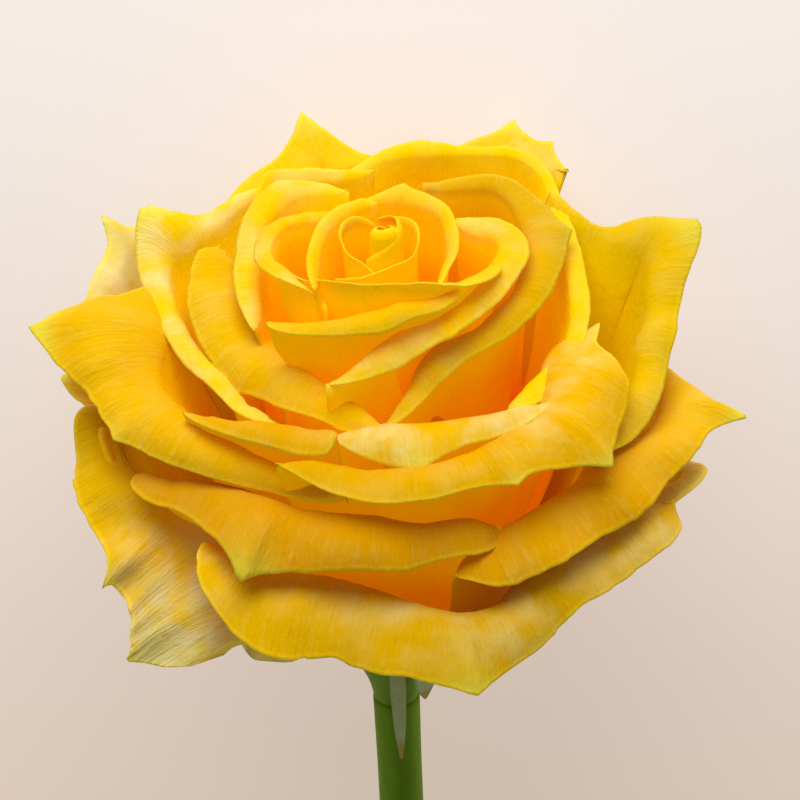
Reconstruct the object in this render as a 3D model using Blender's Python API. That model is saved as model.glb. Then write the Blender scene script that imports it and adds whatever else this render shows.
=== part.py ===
"""A cut yellow rose: one open bloom with its calyx on a short length of stem, lying on its side.

The flower is drawn in a frame of its own, in millimetres. Its origin is the seat of the petals on the
receptacle and its +Z runs up the flower's axis to the bud. Azimuths are in degrees round that axis: 0 is the
front, which lies uppermost, +90 is the flower's right and 180 its back, which lies down. lay_down() then
turns the whole flower about the X axis and sets it on the ground, with the bloom facing -Y.
"""

import math

import bmesh
import bpy
import numpy as np
from mathutils import Matrix, Vector

MM = 0.001

# How the flower lies: its turn about its own axis, the lean of the axis above level, and where the seat of
# the petals comes to. It then rests on the tips of two back petals and on the cut end of the stem.
ROLL_ANGLE = 4.50
LIE_ANGLE = 12.64
SEAT = Vector((-0.43, -38.15, 34.50))

# Petals.
BLADE = 0.7
COARSE_STEP = 10.4
FEWEST_STEPS = 4
MOST_STEPS = 9
WALL_STOPS = (0.0, 0.4, 0.75, 1.0)
HEART_WALL_STOPS = (0.0, 0.5, 1.0)
WIDE_MARGIN = 7.5
WIDE_MARGIN_STOPS = (0.12, 0.45, 1.0)
NARROW_MARGIN_STOPS = (0.3, 1.0)
LIP_MARGIN = 1.0
HEART_RADIUS = 12.0
HEART_SEAT = 30.0
PINCH = 0.6
RADIAL_SHARE = 0.3
HANDLE = 0.38
TOP_LEAN = 92.0
TOP_LEAN_FALL = 0.6
FOOT_LEAN = 82.0
FOOT_LEAN_FALL = 1.6
FOOT_RADIUS = 1.0
FOOT_SPREAD = 0.16
WIDEST_FOOT = 7.0
CORNER = 5.0
CORNER_SHARE = 0.2

# Receptacle inside the petals, as radius and height.
RECEPTACLE = (
    (5.4, -1.0), (8.5, 1.0), (11.0, 5.0), (12.5, 12.0), (12.0, 20.0), (10.0, 30.0), (7.5, 38.0), (4.0, 43.0),
)
ROUND_SIDES = 20

# Calyx: the hip below the petals and its five sepals.
HIP = ((4.6, -1.3), (5.9, -2.4), (6.5, -5.0), (6.4, -8.0), (5.3, -11.0), (4.0, -13.4), (3.4, -14.9))
SEPAL_ROOT = 5.2
SEPAL_ROOT_HEIGHT = -2.6
SEPAL_BLADE = 0.9

# Stem.
STEM_TOP = -15.2
STEM_END = -143.0
STEM_STATIONS = (
    (3.3, 0.0), (3.15, 0.1), (3.1, 0.45), (3.15, 0.6), (3.45, 0.66), (3.25, 0.71), (3.2, 0.9), (3.3, 1.0),
)


def petal(name, left, right, radius, height, margin, turn, curl=0.5, tips=(), splay=0):
    """One petal, given by its crest, the line along which its rim rolls outwards.

    The crest runs from azimuth left to right. radius, height and margin, the width of the rolled rim, are
    millimetres at even steps along it, and turn is how far the rim rolls there, in degrees. A curl under 1
    rolls it mostly near the crest. Each tip is its place along the crest from 0 to 1, length and width. A
    splay leans the top of the wall that many degrees further out.
    """
    return {
        "name": name, "left": left, "right": right, "radius": radius, "height": height,
        "margin": margin, "turn": turn, "curl": curl, "tips": tips, "splay": splay,
    }


PETALS = (
    # The bud and the small cup round it.
    petal("bud_inner", -150, 70, (2.2, 2.4, 2.1, 1.8), (63, 65, 65.5, 64), (0.6,), (30,)),
    petal("bud_outer", 30, 250, (2.2, 2.3, 2.8, 3.2), (62, 64, 65, 64), (0.6,), (30,)),
    petal("cup_left", -165, -20, (4.2, 5.6, 6.0, 5.2, 3.8, 3.2), (62.5, 63, 63, 62, 61, 59.5), (0.8,), (40,)),
    petal("cup_right", -80, 165, (7.0, 5.2, 3.8, 3.3, 3.9, 4.5, 5.0, 4.4),
          (57.5, 59, 60.5, 61, 61.5, 62, 62.5, 63), (0.8,), (40,)),
    petal("ring_left", -176, -62, (9.2, 10.2, 10.4, 10.2, 10.4, 10.8), (62.5, 62.5, 62, 61, 60, 58.5),
          (1.5, 2, 2, 2, 1.5), (90,)),
    petal("ring_right", 58, 192, (8.2, 8.4, 9.6, 10.6, 11.8, 12.2, 12.2, 11.4),
          (57.5, 59, 60, 61, 62, 62, 62, 61.5), (1.5, 2, 2, 2, 1.5), (90,)),
    # The first rolled petals round the cup.
    petal("ear_left", -165, -62, (13, 16, 18.5, 17.5, 14.5, 11.5, 9), (58, 58, 58, 57.5, 57.5, 57, 56),
          (1, 3, 3.5, 3.5, 2.5, 1, 0.5), (100, 130, 140, 130, 100, 60)),
    petal("lip_front", -97, 100, (13, 9, 7, 6, 8, 11.5, 15), (57.5, 59, 60, 60, 60, 58, 56.5),
          (0.5, 1, 0.8, 0.8, 1.5, 2.5, 3), (60, 60, 60, 60, 90, 120)),
    petal("roll_front", -76, 70, (16.5, 11.5, 9, 7.5, 7.5, 8.5, 10), (53, 55, 56, 56, 57, 57, 56.5),
          (2, 3.5, 4, 4, 3.5, 3.5, 3), (130, 150, 150, 150, 140, 120)),
    # The swirl of long petals that wraps them.
    petal("swirl_right", -36, 142, (15, 10.2, 8, 7.6, 8.3, 10.5, 15, 19.5, 16),
          (48.5, 50.5, 52, 52.7, 53.2, 54, 55, 56.7, 57), (1, 4.5, 6, 6, 6, 5.5, 5, 5, 2),
          (140, 140, 140, 130, 130, 130, 120, 110, 80)),
    petal("swirl_outer", -5, 166, (17, 11, 9.5, 10, 14, 20, 25.5, 28, 22),
          (44, 46, 48, 49, 50, 52, 54, 56.5, 57), (1, 4, 5, 5, 5, 5.5, 5, 3, 1.5),
          (120, 130, 130, 130, 130, 120, 110, 90, 60), tips=((0.74, 2.5, 2.5),)),
    petal("shoulder_left", -168, -90, (21.5, 26.5, 25.5, 22, 19.3, 18), (57, 56.5, 55, 52.5, 51, 49),
          (2, 4, 4, 4, 3.5, 2), (90, 100, 110, 110, 90), curl=0.7, tips=((0.24, 1.5, 2),), splay=6),
    petal("collar_left", -178, -142, (25.5, 27.5, 30, 32, 29.5), (57, 56.5, 56, 55, 53.5),
          (1, 2.5, 3, 2.5, 1), (70,), curl=0.8, tips=((0.75, 1.5, 2),)),
    petal("band_left", -130, -4, (30, 23.5, 17.5, 14.5, 13, 12.4, 13.3, 15.5),
          (50, 48, 46, 45.5, 45.5, 45, 44, 43), (7, 10, 9.5, 8, 7, 6, 4.5, 1),
          (100, 120, 140, 140, 140, 140), curl=0.4, tips=((0.36, 1.5, 2),)),
    petal("back_wall", 50, 197, (21, 22, 24.5, 26, 28, 32.5, 39, 35.5, 33, 26),
          (43.5, 45, 47, 48.5, 50, 51, 53, 54.5, 55, 55), (3, 4, 3.5, 3, 3, 2.5, 2, 2, 2, 1),
          (100, 110, 110, 110, 100, 90, 80, 60)),
    # The front pair and the broad petal below them.
    petal("pair_left", -71, -23, (29.5, 25.7, 22.5, 20.3, 19), (43, 43.5, 44, 44, 44), (1, 3, 4.5, 5.5, 5.5),
          (120, 130), tips=((0.97, 1.5, 1.5),)),
    petal("pair_right", -24, 61, (19, 17.7, 17.9, 19.3, 22.7, 26.2), (44, 44, 44.2, 44.6, 45, 45),
          (3.5, 6.5, 6.5, 5.5, 4.5, 1), (120, 130, 130, 120, 100), tips=((0.38, 4, 2.5),)),
    petal("front_lobe", -38, 91, (25.5, 24, 24.8, 25.2, 26, 27, 26.5, 28.5),
          (42, 42, 42, 43, 44, 45, 46.5, 47), (1, 5.5, 7, 7, 8.5, 12, 13, 2),
          (110, 120, 120, 120, 120, 130, 110, 60), tips=((0.535, 2.5, 2), (0.7, 4, 1.5))),
    # The outer petals, opened wide and rolled right back.
    petal("left_inner", -92, -34, (22, 19.5, 17.5, 17, 17), (38.5, 38.5, 38.5, 38.5, 38), (1, 2, 2, 2, 1),
          (60,)),
    petal("left_outer", -152, -55, (35, 35.5, 38.3, 32, 27, 23, 21, 19),
          (51.5, 50.5, 48, 46, 44, 43, 42, 41), (1, 3, 5, 4, 4, 3.5, 3, 1), (80, 70, 110, 110, 110, 110),
          curl=0.8, tips=((0.24, 5.5, 2.5),), splay=10),
    petal("back_left", -178, -142, (40, 45, 43, 40, 36), (50, 50, 50, 50, 49.5), (2, 6, 7, 6, 2), (50,),
          curl=0.4, tips=((0.3, 5, 2),)),
    petal("back_right", 143, 166, (43, 45, 46, 45, 42), (50, 50, 50, 50, 50), (1, 4, 5, 4, 1), (50,),
          curl=0.4, tips=((0.6, 4, 2), (0.28, 2, 1.5))),
    petal("right_wall", 58, 138, (31.5, 33, 34.5, 36.5, 39.5, 41.5, 35, 34.5),
          (38, 39, 41, 43.5, 46, 48.3, 50.3, 52), (1, 4.5, 5, 5, 5, 4, 2.5, 1), (110, 110, 100, 80, 70, 60, 50),
          curl=0.9, tips=((0.7, 7, 3.5),), splay=14),
    petal("left_big", -116, -18, (36, 37.3, 34.2, 30.5, 25.5, 23, 21.5, 22),
          (46.3, 45.8, 43, 41.3, 39.5, 38.3, 37.3, 36), (3, 15, 10, 8.5, 6.5, 5, 4, 1),
          (70, 85, 105, 120, 130, 130), curl=0.5, tips=((0.14, 6.5, 3), (0.378, 2, 3)), splay=18),
    petal("right_low", 14, 100, (29, 29, 30, 32, 34, 37, 38, 38), (28, 31, 33.5, 35, 36, 36, 34.5, 35),
          (2, 9, 10, 10, 10, 8, 4, 1), (110, 130, 130, 130, 120, 110, 90), curl=0.45, tips=((0.85, 10, 2.5),)),
    petal("left_mid", -100, -70, (40, 40, 37, 34), (34, 32, 28, 24), (1.5,), (60,)),
    petal("front_low", -75, 30, (36, 30, 27, 26, 26, 26, 27), (32.5, 35, 35, 35, 35, 34, 31.5),
          (4, 7, 8, 9, 9, 7, 4), (110, 120, 130, 130, 120), curl=0.4, tips=((0.37, 7, 4),)),
    petal("skirt_front", -42, 70, (34.5, 31.9, 30.3, 30.6, 32.9, 34.1, 33.5, 32.3, 33.4, 36.2, 41),
          (26.5, 26.5, 26.4, 25.9, 25.2, 23.8, 23.3, 25.7, 27.2, 28.8, 30.3),
          (10, 17, 16.5, 15.2, 13, 11.8, 10, 10.5, 10, 8, 4), (110, 120, 130, 130, 120), curl=0.5,
          tips=((0.493, 4, 3),)),
    petal("back_low_right", 99, 158, (35, 36, 36.5, 36, 34), (25, 28, 30, 31, 30), (3, 6, 7, 6, 3), (120,),
          curl=0.4, tips=((0.5, 3, 3),)),
    petal("back_low", 150, 214, (33, 34.5, 35, 34.5, 33), (32, 34, 34.5, 34, 32), (3, 6, 7, 6, 3), (120,),
          curl=0.4, tips=((0.5, 2, 3),)),
    petal("back_low_left", -152, -100, (35, 37, 38, 38, 37), (30, 31, 30, 28, 26), (3, 6, 7, 6, 3), (120,),
          curl=0.4, tips=((0.5, 3, 3),)),
    # The pale guard petals next to the calyx.
    petal("guard_left", -100, -44, (39.6, 38.6, 37.2, 35.2, 31.5, 29.8, 30, 32),
          (33, 31.6, 30, 27.6, 24.8, 21.3, 18, 13.5), (4, 6.5, 9.5, 10.5, 15, 18.5, 18, 14), (94,), curl=0.2,
          tips=((0.52, 4, 1.5), (0.88, 4, 2))),
    petal("guard_top_left", -140, -108, (48, 48.5, 47, 44), (43.5, 43, 42, 39), (3, 3, 3, 2), (50,),
          tips=((0.28, 5, 1.5), (0.05, 2, 2))),
    petal("guard_side", -112, -98, (42, 44.5, 41), (34.5, 33.5, 32), (1, 2.5, 1), (50,), tips=((0.5, 3, 2),)),
    petal("guard_right", 66, 88, (32, 36, 39.5, 40, 37), (22, 23, 24, 24, 23), (2, 4, 4, 4, 3), (80,)),
    petal("guard_back", 112, 176, (30, 33, 34, 33, 30), (14, 16, 17, 16, 14), (3, 4, 5, 4, 3), (100,)),
    petal("guard_back_left", -176, -118, (31, 34, 35, 34, 31), (16, 18, 18, 16, 14), (3, 4, 5, 4, 3), (100,)),
)

# Each sepal: azimuth, length, greatest width, and the lean of its root and of its tip above level.
SEPALS = (
    (-80, 12, 5.0, -5, 15),
    (6, 18, 3.4, -45, -93),
    (44, 10, 6.0, -55, -96),
    (150, 16, 5.0, -15, -50),
    (222, 16, 5.0, -10, -45),
)


def clear_scene():
    for item in list(bpy.data.objects):
        bpy.data.objects.remove(item, do_unlink=True)


def finish(name, colour, roughness):
    material = bpy.data.materials.new(name)
    material.use_nodes = True
    shader = material.node_tree.nodes["Principled BSDF"]
    shader.inputs["Base Color"].default_value = (*colour, 1.0)
    shader.inputs["Roughness"].default_value = roughness
    shader.inputs["Metallic"].default_value = 0.0
    return material


def new_object(name, mesh, material=None):
    item = bpy.data.objects.new(name, mesh)
    bpy.context.scene.collection.objects.link(item)
    if material is not None:
        mesh.materials.append(material)
    return item


def smooth_values(values, along):
    """A smooth curve through evenly spaced values, read at places along it from 0 to 1."""
    values = np.asarray(values, float)
    if len(values) == 1:
        return np.full_like(along, values[0])
    padded = np.concatenate(([2 * values[0] - values[1]], values, [2 * values[-1] - values[-2]]))
    place = np.clip(along, 0, 1) * (len(values) - 1)
    index = np.minimum(place.astype(int), len(values) - 2)
    part = place - index
    before, start, end, after = (padded[index + step] for step in range(4))
    return 0.5 * (
        2 * start + (end - before) * part + (2 * before - 5 * start + 4 * end - after) * part**2
        + (3 * start - before - 3 * end + after) * part**3
    )


def crest_line(shape, along):
    azimuth = np.radians(shape["left"] + (shape["right"] - shape["left"]) * along)
    radius = smooth_values(shape["radius"], along)
    height = smooth_values(shape["height"], along)
    return np.stack((radius * np.sin(azimuth), -radius * np.cos(azimuth), height), -1), azimuth


def outward_directions(shape, along, azimuth):
    """The level direction in which the rim rolls: square to the crest, eased towards the radius."""
    step = 1e-3
    ahead, _ = crest_line(shape, np.clip(along + step, 0, 1))
    behind, _ = crest_line(shape, np.clip(along - step, 0, 1))
    run = ahead - behind
    square = np.stack((run[:, 1], -run[:, 0]), -1)
    square /= np.linalg.norm(square, axis=1)[:, None]
    radial = np.stack((np.sin(azimuth), -np.cos(azimuth)), -1)
    mixed = square * (1 - RADIAL_SHARE) + radial * RADIAL_SHARE
    return mixed / np.linalg.norm(mixed, axis=1)[:, None]


def rounded_ends(walked):
    """How much of the margin is left at each place of the crest: the corners of the petal are rounded off."""
    near = np.minimum(walked, walked[-1] - walked)
    part = np.clip(near / CORNER, 0, 1)
    return CORNER_SHARE + (1 - CORNER_SHARE) * np.sqrt(1 - (1 - part) ** 2)


def rolled_margin(shape, along, crest, rise, stops):
    """How far the rim goes out and up from the top of the wall, and the wall top below the crest."""
    walked = np.concatenate(([0.0], np.cumsum(np.linalg.norm(np.diff(crest, axis=0), axis=1))))
    width = smooth_values(shape["margin"], along) * rounded_ends(walked)
    full = width.copy()
    for place, length, spread in shape["tips"]:
        away = np.abs(walked - np.interp(place, along, walked))
        full = full + length * np.exp(-away / spread)
    turn = np.radians(smooth_values(shape["turn"], along))
    pieces = 100
    middle = (np.arange(pieces) + 0.5) / pieces
    lean = rise - turn[:, None] * middle[None] ** shape["curl"]
    start = np.zeros((len(along), 1))
    out = np.concatenate((start, np.cumsum(np.cos(lean), 1) / pieces), 1)
    up = np.concatenate((start, np.cumsum(np.sin(lean), 1) / pieces), 1)
    rows = np.arange(len(along))
    peak = np.argmax(up, 1)
    picks = [round(stop * pieces) for stop in stops]
    back = out[rows, peak] * width
    drop = up[rows, peak] * width
    return out[:, picks] * full[:, None], up[:, picks] * full[:, None], back, drop


def petal_grid(shape, along, wall_stops, margin_stops):
    """Points of the petal's middle surface, from its foot up the wall and over the rolled margin."""
    crest, azimuth = crest_line(shape, along)
    size = float(np.mean(shape["radius"]))
    rise = math.radians(TOP_LEAN - TOP_LEAN_FALL * size - shape["splay"])
    spring = math.radians(FOOT_LEAN - FOOT_LEAN_FALL * size)
    foot = min(FOOT_RADIUS + FOOT_SPREAD * size, WIDEST_FOOT)
    out = outward_directions(shape, along, azimuth)
    margin_out, margin_up, back, drop = rolled_margin(shape, along, crest, rise, margin_stops)
    top = crest.copy()
    top[:, :2] -= out * back[:, None]
    top[:, 2] -= drop
    middle = math.radians((shape["left"] + shape["right"]) / 2)
    base_azimuth = middle + (azimuth - middle) * PINCH
    base_out = np.stack((np.sin(base_azimuth), -np.cos(base_azimuth)), -1)
    seat = HEART_SEAT if size < HEART_RADIUS else 0.0
    base = np.concatenate((foot * base_out, np.full((len(along), 1), seat)), 1)
    handle = HANDLE * np.linalg.norm(top - base, axis=1)[:, None]
    level = np.ones((len(along), 1))
    first = base + handle * np.concatenate((base_out * math.cos(spring), level * math.sin(spring)), 1)
    second = top - handle * np.concatenate((out * math.cos(rise), level * math.sin(rise)), 1)
    t = np.asarray(wall_stops)[None, :, None]
    wall = (
        (1 - t) ** 3 * base[:, None] + 3 * (1 - t) ** 2 * t * first[:, None]
        + 3 * (1 - t) * t**2 * second[:, None] + t**3 * top[:, None]
    )
    rim = np.concatenate(
        (top[:, None, :2] + out[:, None] * margin_out[..., None], (top[:, None, 2] + margin_up)[..., None]), -1
    )
    return np.concatenate((wall, rim), 1)


def crest_places(shape):
    """Where the petal is cut across: at even steps of its crest, moved to meet its tips."""
    fine = np.linspace(0, 1, 60)
    crest, _ = crest_line(shape, fine)
    walked = np.linalg.norm(np.diff(crest, axis=0), axis=1).sum()
    count = int(np.clip(round(walked / COARSE_STEP), FEWEST_STEPS, MOST_STEPS))
    places = np.linspace(0, 1, count + 1)
    for place, _, _ in shape["tips"]:
        nearest = 1 + int(np.argmin(np.abs(places[1:-1] - place)))
        places[nearest] = place
    return places


def sheet_mesh(name, grid):
    """A grid of points as a sheet of triangles, all split the same way."""
    across, up = grid.shape[:2]
    shape = bmesh.new()
    rows = [[shape.verts.new(Vector(grid[i, j]) * MM) for j in range(up)] for i in range(across)]
    for i in range(across - 1):
        for j in range(up - 1):
            a, b, c, d = rows[i][j], rows[i + 1][j], rows[i + 1][j + 1], rows[i][j + 1]
            shape.faces.new((a, b, c))
            shape.faces.new((a, c, d))
    mesh = bpy.data.meshes.new(name)
    shape.to_mesh(mesh)
    shape.free()
    return mesh


def thicken(item, thickness):
    solid = item.modifiers.new("Thickness", "SOLIDIFY")
    solid.thickness = thickness * MM
    solid.offset = 0.0
    return item


def petal_blade(shape):
    wall = HEART_WALL_STOPS if float(np.mean(shape["radius"])) < HEART_RADIUS else WALL_STOPS
    widest = max(shape["margin"])
    margin = (1.0,) if widest < LIP_MARGIN else NARROW_MARGIN_STOPS
    margin = WIDE_MARGIN_STOPS if widest > WIDE_MARGIN else margin
    grid = petal_grid(shape, crest_places(shape), wall, margin)
    return thicken(new_object(shape["name"], sheet_mesh(shape["name"], grid)), BLADE)


def turned_mesh(name, profile, sides):
    """A closed body of revolution about Z from a profile of radii and heights."""
    shape = bmesh.new()
    rings = []
    for radius, height in profile:
        ring = []
        for side in range(sides):
            angle = 2 * math.pi * side / sides
            ring.append(shape.verts.new(Vector((radius * math.cos(angle), radius * math.sin(angle), height)) * MM))
        rings.append(ring)
    for low, high in zip(rings, rings[1:]):
        for side in range(sides):
            after = (side + 1) % sides
            shape.faces.new((low[side], low[after], high[after], high[side]))
    shape.faces.new(rings[0][::-1])
    shape.faces.new(rings[-1])
    bmesh.ops.recalc_face_normals(shape, faces=shape.faces)
    bmesh.ops.triangulate(shape, faces=shape.faces)
    mesh = bpy.data.meshes.new(name)
    shape.to_mesh(mesh)
    shape.free()
    return mesh


def joined(core, pieces, solver):
    """Joins the pieces to the core in one Boolean union and removes them."""
    group = bpy.data.collections.new("pieces")
    for piece in pieces:
        group.objects.link(piece)
    union = core.modifiers.new("Join", "BOOLEAN")
    union.operation = "UNION"
    union.operand_type = "COLLECTION"
    union.collection = group
    union.solver = solver
    depsgraph = bpy.context.evaluated_depsgraph_get()
    mesh = bpy.data.meshes.new_from_object(core.evaluated_get(depsgraph))
    core.modifiers.clear()
    core.data = mesh
    for piece in pieces:
        bpy.data.objects.remove(piece, do_unlink=True)
    bpy.data.collections.remove(group)
    return core


def shells(shape):
    """The separate closed skins of a mesh, each as a list of faces; skins that only touch are told apart."""
    left = set(shape.faces)
    found = []
    while left:
        stack = [left.pop()]
        skin = []
        while stack:
            face = stack.pop()
            skin.append(face)
            for edge in face.edges:
                if len(edge.link_faces) != 2:
                    continue
                for other in edge.link_faces:
                    if other in left:
                        left.remove(other)
                        stack.append(other)
        found.append(skin)
    return found


def skin_volume(skin):
    total = 0.0
    for face in skin:
        a = face.verts[0].co
        for b, c in zip(face.verts[1:], face.verts[2:]):
            total += a.dot(b.co.cross(c.co)) / 6
    return total


def keep_one_body(item):
    """Keeps the largest outer skin, which fills sealed hollows, drops loose scraps and closes pinholes."""
    shape = bmesh.new()
    shape.from_mesh(item.data)
    skins = sorted(shells(shape), key=skin_volume)
    spare = [face for skin in skins[:-1] for face in skin]
    bmesh.ops.delete(shape, geom=spare, context="FACES")
    loose = [vertex for vertex in shape.verts if not vertex.link_faces]
    bmesh.ops.delete(shape, geom=loose, context="VERTS")
    pinholes = [edge for edge in shape.edges if edge.is_boundary]
    bmesh.ops.holes_fill(shape, edges=pinholes)
    shape.to_mesh(item.data)
    shape.free()
    return item


def make_bloom():
    material = finish("petal", (0.83, 0.52, 0.02), 0.55)
    bloom = new_object("bloom", turned_mesh("bloom", RECEPTACLE, ROUND_SIDES), material)
    blades = [petal_blade(shape) for shape in PETALS]
    return keep_one_body(joined(bloom, blades, "EXACT"))


def sepal_blade(number, azimuth, length, width, root_lean, tip_lean):
    """One sepal: a narrow pointed leaf that springs from the hip and bends down."""
    stations = np.linspace(0, 1, 7)
    lean = np.radians(root_lean + (tip_lean - root_lean) * np.minimum(1.6 * stations, 1.0))
    angle = math.radians(azimuth)
    outward = Vector((math.sin(angle), -math.cos(angle), 0.0))
    aside = Vector((math.cos(angle), math.sin(angle), 0.0))
    place = outward * SEPAL_ROOT + Vector((0.0, 0.0, SEPAL_ROOT_HEIGHT))
    rows = []
    for index, along in enumerate(stations):
        if index:
            step = length / (len(stations) - 1)
            middle = (lean[index] + lean[index - 1]) / 2
            place = place + (outward * math.cos(middle) + Vector((0, 0, 1)) * math.sin(middle)) * step
        half = 0.5 * width * max(math.sin(math.pi * (0.25 + 0.75 * along)), 0.0) ** 0.8 + 0.25
        hollow = Vector((0.0, 0.0, 0.12 * half))
        rows.append([tuple(place + aside * half * side + hollow * abs(side)) for side in (-1, -0.5, 0, 0.5, 1)])
    name = f"sepal_{number}"
    return thicken(new_object(name, sheet_mesh(name, np.array(rows))), SEPAL_BLADE)


def make_calyx():
    material = finish("calyx", (0.19, 0.24, 0.10), 0.7)
    calyx = new_object("calyx", turned_mesh("calyx", HIP[::-1], ROUND_SIDES), material)
    blades = [sepal_blade(number, *sepal) for number, sepal in enumerate(SEPALS, 1)]
    return keep_one_body(joined(calyx, blades, "EXACT"))


def make_stem():
    material = finish("stem", (0.07, 0.13, 0.02), 0.5)
    length = STEM_TOP - STEM_END
    profile = [(radius, STEM_TOP - length * share) for radius, share in STEM_STATIONS]
    return new_object("stem", turned_mesh("stem", profile[::-1], ROUND_SIDES), material)


def lay_down(items):
    """Turns the flower on its back, its axis LIE_ANGLE above level, and sets it on the ground."""
    roll = Matrix.Rotation(math.radians(ROLL_ANGLE), 4, "Z")
    lean = math.radians(LIE_ANGLE)
    turn = Matrix((
        (-1.0, 0.0, 0.0),
        (0.0, -math.sin(lean), -math.cos(lean)),
        (0.0, -math.cos(lean), math.sin(lean)),
    ))
    place = Matrix.Translation(SEAT * MM) @ turn.to_4x4() @ roll
    for item in items:
        item.data.transform(place)
        item.data.update()


clear_scene()
lay_down([make_bloom(), make_calyx(), make_stem()])
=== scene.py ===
"""A cut yellow rose lying on its side on a pale floor, seen as in the photograph from above and in front."""

import math

import bpy
import numpy as np
from mathutils import Matrix, Vector


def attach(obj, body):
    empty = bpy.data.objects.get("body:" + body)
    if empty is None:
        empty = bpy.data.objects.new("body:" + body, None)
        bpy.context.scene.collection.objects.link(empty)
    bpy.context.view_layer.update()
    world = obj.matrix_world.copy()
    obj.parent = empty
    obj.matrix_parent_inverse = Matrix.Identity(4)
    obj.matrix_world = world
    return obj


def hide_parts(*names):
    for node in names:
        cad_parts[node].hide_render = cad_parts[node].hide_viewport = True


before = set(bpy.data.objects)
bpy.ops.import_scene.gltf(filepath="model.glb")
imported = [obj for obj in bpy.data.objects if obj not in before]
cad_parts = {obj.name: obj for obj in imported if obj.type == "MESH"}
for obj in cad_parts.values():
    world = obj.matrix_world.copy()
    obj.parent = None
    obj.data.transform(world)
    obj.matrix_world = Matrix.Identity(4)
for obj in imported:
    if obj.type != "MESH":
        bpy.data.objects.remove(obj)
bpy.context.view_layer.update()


# The flower's own frame, in millimetres: its origin is the seat of the petals and +Z runs up the axis to the
# bud. Azimuth 0 is the front, which lies uppermost, and +90 the flower's right. The flower lies on two back
# petals and on the cut end of its stem.
MM = 0.001
ROLL_ANGLE = 4.50
LIE_ANGLE = 12.64
SEAT = Vector((-0.43, -38.15, 34.50))
lean = math.radians(LIE_ANGLE)
LIE = Matrix((
    (-1.0, 0.0, 0.0),
    (0.0, -math.sin(lean), -math.cos(lean)),
    (0.0, -math.cos(lean), math.sin(lean)),
)).to_4x4() @ Matrix.Rotation(math.radians(ROLL_ANGLE), 4, "Z")
TO_WORLD = Matrix.Translation(SEAT * MM) @ LIE @ Matrix.Scale(MM, 4)


# Camera: a long lens 0.7 m away looks down on the lying flower, 36 degrees towards the bud from square to
# its axis, and is turned so that the bud is at the top of the picture.
CAMERA_LIFT = math.radians(36.0)
CAMERA_LEAN = math.radians(2.6)
CAMERA_DISTANCE = 700.0
CAMERA_TARGET = Vector((1.1, 17.3, 23.8))
CAMERA_LENS = 225.2
SENSOR_WIDTH = 36.0
back = Vector((0.0, -math.cos(CAMERA_LIFT), math.sin(CAMERA_LIFT)))
level = Vector((1.0, 0.0, 0.0))
up = Vector((0.0, math.sin(CAMERA_LIFT), math.cos(CAMERA_LIFT)))
right = level * math.cos(CAMERA_LEAN) - up * math.sin(CAMERA_LEAN)
up = up * math.cos(CAMERA_LEAN) + level * math.sin(CAMERA_LEAN)
turn = LIE.to_3x3() @ Matrix((right, up, back)).transposed()
place = TO_WORLD @ (CAMERA_TARGET + back * CAMERA_DISTANCE)
camera = bpy.data.objects.new("camera", bpy.data.cameras.new("camera"))
bpy.context.scene.collection.objects.link(camera)
camera.matrix_world = Matrix.Translation(place) @ turn.to_4x4()
camera.data.lens = CAMERA_LENS
camera.data.sensor_width = SENSOR_WIDTH
bpy.context.scene.camera = camera


# Floor and light: one wide pale floor, which glows with its own colour so that it looks even, and large soft
# lights above and in front of the bloom. The floor is painted darker and browner towards the stem, a painted
# light falloff away from the key lamp. The picture is shown without a film-like tone curve, so the yellows
# stay as clear as they are. Lengths are metres here, and a lamp is its name, place, width and watts.
FLOOR_SIZE = 6.0
FLOOR_BY_BUD = (0.545, 0.52, 0.50)
FLOOR_BY_STEM = (0.44, 0.36, 0.30)
FLOOR_TURN = (-0.16, 0.04)
FLOOR_GLOW = 1.13
STUDIO_TINT = (1.0, 0.98, 0.96, 1.0)
STUDIO_LIGHT = 0.2
LAMP_AIM = Vector((0.0, -0.06, 0.03))
LAMPS = (
    ("key", (0.1, -1.6, 0.6), 1.3, 24.0),
    ("fill", (-0.5, -0.5, 1.5), 1.4, 2.0),
)
bpy.context.scene.view_settings.view_transform = "Standard"
bpy.context.scene.cycles.max_bounces = 8
bpy.context.scene.cycles.diffuse_bounces = 4


class Value:
    """A number that changes over a surface: the output of a shader node, with the usual arithmetic."""

    def __init__(self, finish, socket):
        self.finish = finish
        self.socket = socket

    def maths(self, operation, first, second):
        return self.finish.node("Math", {"operation": operation}, {0: first, 1: second})

    def __add__(self, other):
        return self.maths("ADD", self, other)

    def __sub__(self, other):
        return self.maths("SUBTRACT", self, other)

    def __rsub__(self, other):
        return self.maths("SUBTRACT", other, self)

    def __mul__(self, other):
        return self.maths("MULTIPLY", self, other)

    __radd__ = __add__
    __rmul__ = __mul__


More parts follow.
